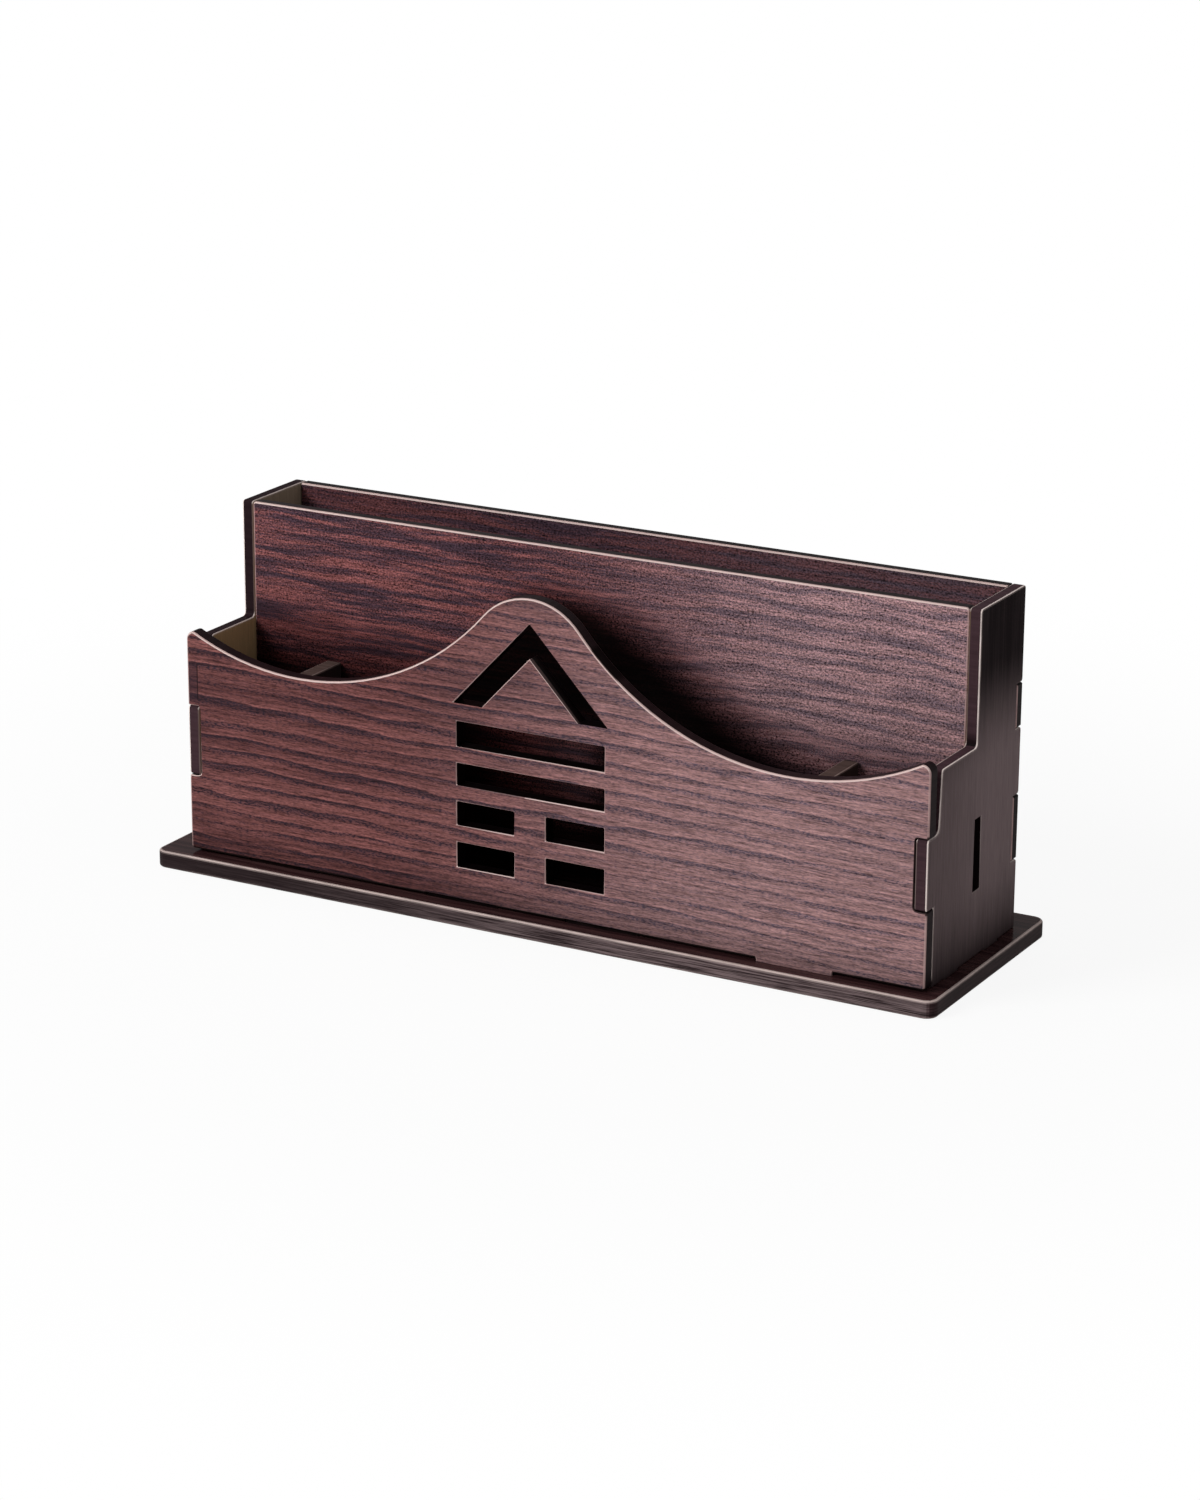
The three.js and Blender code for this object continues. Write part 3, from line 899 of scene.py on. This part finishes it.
    def material(self) -> bpy.types.Material:
        """Builds the laminate.

        Returns:
            The finished material.
        """
        bench = Bench(bpy.data.materials.new(self.name))
        brushed, fine = self.noise(bench, self.BRUSHED), self.noise(bench, self.FINE)
        skin = self.skin(bench, brushed, fine)
        square = abs(bench.facing(Way.LENGTH))
        return bench.surface(
            {
                "Base Color": bench.sort(square, skin, self.rim(bench, skin), self.raw_edge(bench)),
                "Roughness": self.roughness + (brushed - 0.5) * 0.3,
                "Specular IOR Level": self.gloss,
                "Normal": bench.bump(brushed * 0.5 + fine * 0.5, 0.04, 0.4),
            }
        )


@dataclass(frozen=True)
class PolishedPlate:
    """Dark laminate of the plate that everything stands on, polished on top and streaked on its edges."""

    GRAIN: ClassVar[Layer] = Layer(0.02, 0.5, 0.0, 4.0, 0.6)
    FIBRE: ClassVar[Layer] = Layer(0.1, 3.0, 5.0, 3.0)
    EDGE_STREAK: ClassVar[Layer] = Layer(0.05, 2.2, 9.0, 4.0, 0.65)
    WORN: ClassVar[Layer] = Layer(0.07, 0.07, 13.0, 3.0, stretched=(0.3, 0.6))

    name: str
    seed: float
    dark: Colour
    light: Colour
    side_dark: Colour
    side_light: Colour
    arris: Colour
    underside: Colour
    end_tint: Colour = (0.75, 0.52, 0.56)
    sawn_span: Span = (0.4, 0.15)
    # Painted light on the edges, rising from least_lit at the left towards the right
    lit_along: Span = (-110.0, 60.0)
    least_lit: float = 0.1
    # Painted shade on the arrises at the mortises, under the boards
    inner_half_length: float = 131.0
    inner_half_depth: float = 38.7
    inner_fade: float = 0.6
    roughness: float = 0.16
    gloss: float = 0.1

    def top(self, bench: Bench, grain: Wire, fibre: Wire) -> Wire:
        """Colours the polished top and the plain underside.

        Args:
            bench: The material's node tree.
            grain: The broad grain.
            fibre: The fine grain.

        Returns:
            The colour of both.
        """
        top = bench.blend(grain.rise(*DARK_TO_LIGHT), self.dark, self.light)
        top = bench.scale(top, 0.6 + fibre * 0.8)
        return bench.blend(bench.facing(Way.HEIGHT).rise(-0.3, -0.9), top, self.underside)

    def side(self, bench: Bench) -> Wire:
        """Colours the streaked edges: painted light rising to the right, painted shade and a brown tint at
        the ends.

        Args:
            bench: The material's node tree.

        Returns:
            The colour of the edges.
        """
        along, depth, height = (bench.place(way) for way in Way)
        streak = bench.noise(self.EDGE_STREAK, along + depth, height, self.seed)
        # Painted light rising towards the right, and painted shade on the ends, which are also tinted browner
        end = bench.facing(Way.LENGTH).rise(0.3, 0.8)
        lit = (self.least_lit + along.rise(*self.lit_along) * (1 - self.least_lit)) * (1 - end * 0.8)
        side = bench.blend(streak.rise(*DARK_TO_LIGHT) * lit, self.side_dark, self.side_light)
        return bench.blend(end, side, self.end_tint, Laying.MULTIPLY)

    def rim(self, bench: Bench, side: Wire) -> Wire:
        """Colours the eased arrises: worn pale with painted highlight round the plate, painted shade at the
        mortises.

        Args:
            bench: The material's node tree.
            side: The colour of the edges.

        Returns:
            The colour of the arrises.
        """
        along, depth = bench.place(Way.LENGTH), bench.place(Way.DEPTH)
        worn = bench.noise(self.WORN, along, depth, self.seed)
        raised = bench.facing(Way.HEIGHT).rise(0.1, 0.4)
        rim = bench.blend(raised * (0.7 + worn * 0.3) + (1 - raised) * (worn * 0.4), side, self.arris)
        # Painted shade on the arrises at the mortises
        inner = abs(along).rise(self.inner_half_length + self.inner_fade, self.inner_half_length)
        inner = inner * abs(depth).rise(self.inner_half_depth + self.inner_fade, self.inner_half_depth)
        return bench.blend(inner, rim, self.dark)

    def material(self) -> bpy.types.Material:
        """Builds the laminate.

        Returns:
            The finished material.
        """
        bench = Bench(bpy.data.materials.new(self.name))
        along, depth = bench.place(Way.LENGTH), bench.place(Way.DEPTH)
        grain = bench.noise(self.GRAIN, along, depth, self.seed)
        fibre = bench.noise(self.FIBRE, along, depth, self.seed)
        square = abs(bench.facing(Way.HEIGHT))
        top, side = self.top(bench, grain, fibre), self.side(bench)
        return bench.surface(
            {
                "Base Color": bench.sort(square, top, self.rim(bench, side), side, self.sawn_span),
                "Roughness": self.roughness + (1 - square.rise(*FACE)) * 0.24 + (grain - 0.5) * 0.1,
                "Specular IOR Level": self.gloss,
                "Normal": bench.bump(grain * 0.4 + fibre * 0.6, 0.02, 0.25),
            }
        )


Finish = Union[Rosewood, DarkLaminate, PolishedPlate]


def dress(node: str, finish: Finish, cut_arris: float = 0.0) -> bpy.types.Object:
    """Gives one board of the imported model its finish, and takes the sharpness off its cut edges.

    Args:
        node: The board's name.
        finish: What it is finished in.
        cut_arris: How wide the cut edges are rubbed down, or 0 to leave them.

    Returns:
        The board.
    """
    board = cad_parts[node]
    board.data.materials.clear()
    board.data.materials.append(finish.material())
    LOG.info("%s: %s", node, finish.name)
    if not cut_arris:
        return board
    joined = board.modifiers.new("joined faces", "WELD")
    joined.merge_threshold = 1e-6
    rubbed = board.modifiers.new("rubbed cut edges", "BEVEL")
    rubbed.width = cut_arris
    rubbed.segments = 1
    rubbed.limit_method = "ANGLE"
    rubbed.angle_limit = 1.05
    rubbed.use_clamp_overlap = False
    rubbed.offset_type = "ABSOLUTE"
    return board


@dataclass
class Base:
    """The plate under the stand."""

    node: str = "base_plate"

    def dress(self) -> None:
        """Polishes the top and streaks the edges."""
        finish = PolishedPlate(
            name="polished plate",
            seed=3.0,
            dark=tone(42, 22, 24),
            light=tone(68, 45, 45),
            side_dark=tone(32, 21, 23),
            side_light=tone(122, 105, 106),
            arris=tone(205, 186, 180),
            underside=tone(48, 37, 36),
        )
        dress(self.node, finish)


@dataclass
class LongBoards:
    """The three boards that run the length of the stand."""

    front: str = "front_panel"
    middle: str = "middle_panel"
    back: str = "back_panel"
    cut_arris: float = 0.0003
    score: ScoreLine = ScoreLine(-118.85, Stretch(54.5, 66.5))
    foot: FootShadow = FootShadow(Stretch(73.65, 98.55, 0.2, 0.2), 6.9)
    # The right notch's arris gets painted shade and the left notch's a painted highlight
    shaded_right_notch: tuple[Span, Stretch] = ((121.5, 122.0), Stretch(28.5, 52.5))
    lit_left_notch: tuple[Span, Stretch] = ((-117.0, -117.5), Stretch(29.0, 52.5))

    def dress(self) -> None:
        """Gives each board its own piece of the rosewood print."""
        plain = Rosewood(
            name="rosewood front",
            seed=11.0,
            ground_dark=tone(96, 58, 57),
            ground_light=tone(126, 79, 76),
            line=tone(52, 38, 46),
            pale=tone(168, 133, 132),
            pale_line=tone(96, 83, 95),
            sawn=tone(31, 20, 22),
            arris=tone(190, 158, 154),
            lit_arris=tone(220, 196, 190),
        )
        notches = (Notch(*self.shaded_right_notch, plain.sawn, 0.9), Notch(*self.lit_left_notch, plain.lit_arris, 0.8))
        front = replace(plain, rear_arris=0.0, score=self.score, notches=notches, foot=self.foot)
        figured = replace(
            plain,
            name="rosewood middle",
            seed=47.0,
            cut=Cut.BANDED,
            spacing=5.4,
            ground_dark=tone(100, 61, 64),
            ground_light=tone(140, 84, 82),
            line=tone(63, 48, 58),
            pale=tone(173, 140, 142),
            pale_line=tone(103, 89, 100),
            line_strength=0.75,
            fibre_strength=1.9,
            speck_strength=4.6,
            speck_length=1.3,
            grit_strength=0.5,
            sheen_and_grain_span=(-30.0, 80.0),
            lit_above=100.0,
            shade=0.98,
            slot_shade=0.85,
        )
        lining = replace(
            figured,
            name="rosewood back",
            seed=83.0,
            ground_dark=tone(50, 36, 42),
            ground_light=tone(104, 62, 62),
            pale=tone(98, 78, 84),
            sawn=tone(22, 14, 16),
            painted_sheen=0.4,
            shade=0.0,
            slot_shade=0.0,
        )
        for node, finish in ((self.front, front), (self.middle, figured), (self.back, lining)):
            dress(node, finish, self.cut_arris)


@dataclass
class EndBoards:
    """The two stepped boards that close the ends."""

    left: str = "left_side_panel"
    right: str = "right_side_panel"
    cut_arris: float = 0.0003

    def dress(self) -> None:
        """Gives the ends their brushed dark faces with painted light, and khaki linings with painted shade.
        """
        # The right end gets the strong painted light
        lit = DarkLaminate(
            name="dark end right",
            seed=29.0,
            outward=Outward.RIGHT,
            dark=tone(19, 9, 12),
            light=tone(119, 103, 104),
            inside=tone(176, 144, 106),
            inside_rear=tone(146, 128, 110),
            sawn=tone(64, 46, 51),
            arris=tone(112, 96, 95),
            lit_arris=tone(236, 220, 214),
        )
        # The left end gets a copy with weaker painted light
        even = replace(
            lit,
            name="dark end left",
            seed=5.0,
            outward=Outward.LEFT,
            dark=tone(48, 36, 38),
            light=tone(94, 78, 78),
            tall_dim=0.6,
        )
        dress(self.left, even, self.cut_arris)
        dress(self.right, lit, self.cut_arris)


@dataclass
class PocketDividers:
    """The two short boards that part the pen pocket in three."""

    left: str = "left_divider"
    right: str = "right_divider"
    cut_arris: float = 0.0002

    def dress(self) -> None:
        """Gives the dividers a dark skin on both faces, with faint painted light and shade."""
        left = DarkLaminate(
            name="divider left",
            seed=61.0,
            outward=Outward.LEFT,
            dark=tone(36, 27, 27),
            light=tone(66, 53, 51),
            inside=tone(50, 39, 38),
            inside_rear=tone(50, 39, 38),
            sawn=tone(82, 66, 62),
            arris=tone(120, 100, 96),
            lit_arris=tone(150, 130, 124),
        )
        right = replace(left, name="divider right", seed=71.0, outward=Outward.RIGHT)
        dress(self.left, left, self.cut_arris)
        dress(self.right, right, self.cut_arris)


@dataclass(frozen=True)
class Lamp:
    """A soft rectangular lamp: where it hangs, its width and height, and its power in watts."""

    name: str
    place: Place
    size: Size
    power: float

    def hang(self, target: Place) -> None:
        """Hangs the lamp and points it.

        Args:
            target: The place that it points at.
        """
        data = bpy.data.lights.new(self.name, "AREA")
        data.shape = "RECTANGLE"
        data.size, data.size_y = self.size
        data.energy = self.power
        lamp = bpy.data.objects.new(self.name, data)
        lamp.location = self.place
        aim = Vector(target) - Vector(self.place)
        lamp.rotation_euler = aim.to_track_quat("-Z", "Y").to_euler()
        bpy.context.scene.collection.objects.link(lamp)
        LOG.info("lamp %s: %.1f W", self.name, self.power)


@dataclass
class Camera:
    """The camera, where the photograph was taken from, with the ways that its right, top and back face."""

    place: Place = (0.5837097, -1.0480915, 0.4326986)
    right: Place = (0.8739841, 0.4859349, 0.0043724)
    top: Place = (-0.1520489, 0.2649013, 0.9522124)
    back: Place = (0.4615550, -0.8328833, 0.3054053)
    lens: float = 100.459
    sensor: float = 36.0
    reach: Span = (0.05, 50.0)

    def stand(self) -> None:
        """Sets the camera up as the scene's own."""
        data = bpy.data.cameras.new("camera")
        data.sensor_width = self.sensor
        data.lens = self.lens
        data.clip_start, data.clip_end = self.reach
        camera = bpy.data.objects.new("camera", data)
        bpy.context.scene.collection.objects.link(camera)
        turn = Matrix((self.right, self.top, self.back)).transposed()
        camera.matrix_world = Matrix.Translation(Vector(self.place)) @ turn.to_4x4()
        bpy.context.scene.camera = camera
        LOG.info("camera: lens %.1f mm", self.lens)


@dataclass
class Floor:
    """A round pale floor that looks white, keeps the stand's shadow, and shows dimly in the polish."""

    radius: float = 9.0
    sides: int = 96
    colour: Colour = (0.95, 0.95, 0.95)
    near_and_far: Span = (0.15, 0.4)
    near_share: float = 0.9
    under_half_length: float = 129.0
    under_half_depth: float = 37.0
    under_fade: float = 2.0
    mirrored_share: float = 0.8
    mirrored_colour: Colour = (1.0, 0.94, 0.93)
    mirrored_strength: float = 0.3

    def white_share(self, bench: Bench) -> Wire:
        """Works out how much of the plain white shows, which is none under the stand.

        Args:
            bench: The material's node tree.

        Returns:
            The share of white, from 0 to 1.
        """
        seen = bench.node("ShaderNodeLightPath", output="Is Camera Ray")
        spot = bench.node("ShaderNodeTexCoord", output="Object")
        away = bench.node("ShaderNodeVectorMath", {"operation": "LENGTH"}, {0: spot}, "Value")
        along, depth = abs(bench.place(Way.LENGTH)), abs(bench.place(Way.DEPTH))
        under = along.rise(self.under_half_length + self.under_fade, self.under_half_length)
        under = under * depth.rise(self.under_half_depth + self.under_fade, self.under_half_depth)
        return seen * (self.near_share + away.rise(*self.near_and_far) * (1 - self.near_share)) * (1 - under)

    def finish(self) -> bpy.types.Material:
        """Builds the floor's material.

        Returns:
            The finished material.
        """
        bench = Bench(bpy.data.materials.new("pale floor"))
        matt = bench.node("ShaderNodeBsdfDiffuse", None, {"Color": self.colour})
        white = bench.node("ShaderNodeEmission", None, {"Color": WHITE, "Strength": 1.0})
        both = bench.node("ShaderNodeMixShader", None, {0: self.white_share(bench), 1: matt, 2: white})
        mirrored = bench.node("ShaderNodeLightPath", output="Is Glossy Ray") * self.mirrored_share
        glow = {"Color": self.mirrored_colour, "Strength": self.mirrored_strength}
        dim = bench.node("ShaderNodeEmission", None, glow)
        both = bench.node("ShaderNodeMixShader", None, {0: mirrored, 1: both, 2: dim})
        bench.node("ShaderNodeOutputMaterial", None, {"Surface": both})
        return bench.owner

    def lay(self) -> None:
        """Lays the floor."""
        mesh = bpy.data.meshes.new("floor")
        disc = bmesh.new()
        bmesh.ops.create_circle(disc, cap_ends=True, segments=self.sides, radius=self.radius)
        disc.to_mesh(mesh)
        disc.free()
        mesh.materials.append(self.finish())
        floor = bpy.data.objects.new("floor", mesh)
        bpy.context.scene.collection.objects.link(floor)
        LOG.info("floor: radius %.1f m", self.radius)


@dataclass
class Studio:
    """The pale floor, the soft lamps, the camera and the room's own light."""

    camera: Camera
    floor: Floor
    lamps: tuple[Lamp, ...] = (
        Lamp("overhead", (-0.2, 0.0, 1.7), (1.2, 1.0), 6.0),
        Lamp("front left", (-1.1, -1.5, 1.25), (0.9, 0.9), 31.0),
        Lamp("right", (1.7, -0.2, 0.7), (0.8, 1.0), 1.5),
    )
    target: Place = (0.0, 0.0, 0.05)
    ambient: float = 0.26

    def set_up(self) -> None:
        """Stands the camera, lays the floor, hangs the lamps and lights the room."""
        self.camera.stand()
        self.floor.lay()
        for lamp in self.lamps:
            lamp.hang(self.target)
        self.light_room()

    def light_room(self) -> None:
        """Fills the room with soft light, and makes it look white."""
        world = bpy.data.worlds.new("room")
        bench = Bench(world)
        seen = bench.node("ShaderNodeLightPath", output="Is Camera Ray")
        through = bench.node("ShaderNodeLightPath", output="Is Transmission Ray")
        plain = bench.node("ShaderNodeBackground", None, {"Color": WHITE, "Strength": self.ambient})
        white = bench.node("ShaderNodeBackground", None, {"Color": WHITE, "Strength": 1.0})
        both = bench.node("ShaderNodeMixShader", None, {0: seen + through, 1: plain, 2: white})
        bench.node("ShaderNodeOutputWorld", None, {"Surface": both})
        bpy.context.scene.world = world
        bpy.context.scene.view_settings.view_transform = "Standard"


def main() -> None:
    """Dresses each sub-assembly in order, then lights and views the stand."""
    logging.basicConfig(level=logging.INFO, format="%(name)s %(message)s")
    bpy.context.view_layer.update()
    Base().dress()
    LongBoards().dress()
    EndBoards().dress()
    PocketDividers().dress()
    Studio(Camera(), Floor()).set_up()


if __name__ == "__main__":
    main()
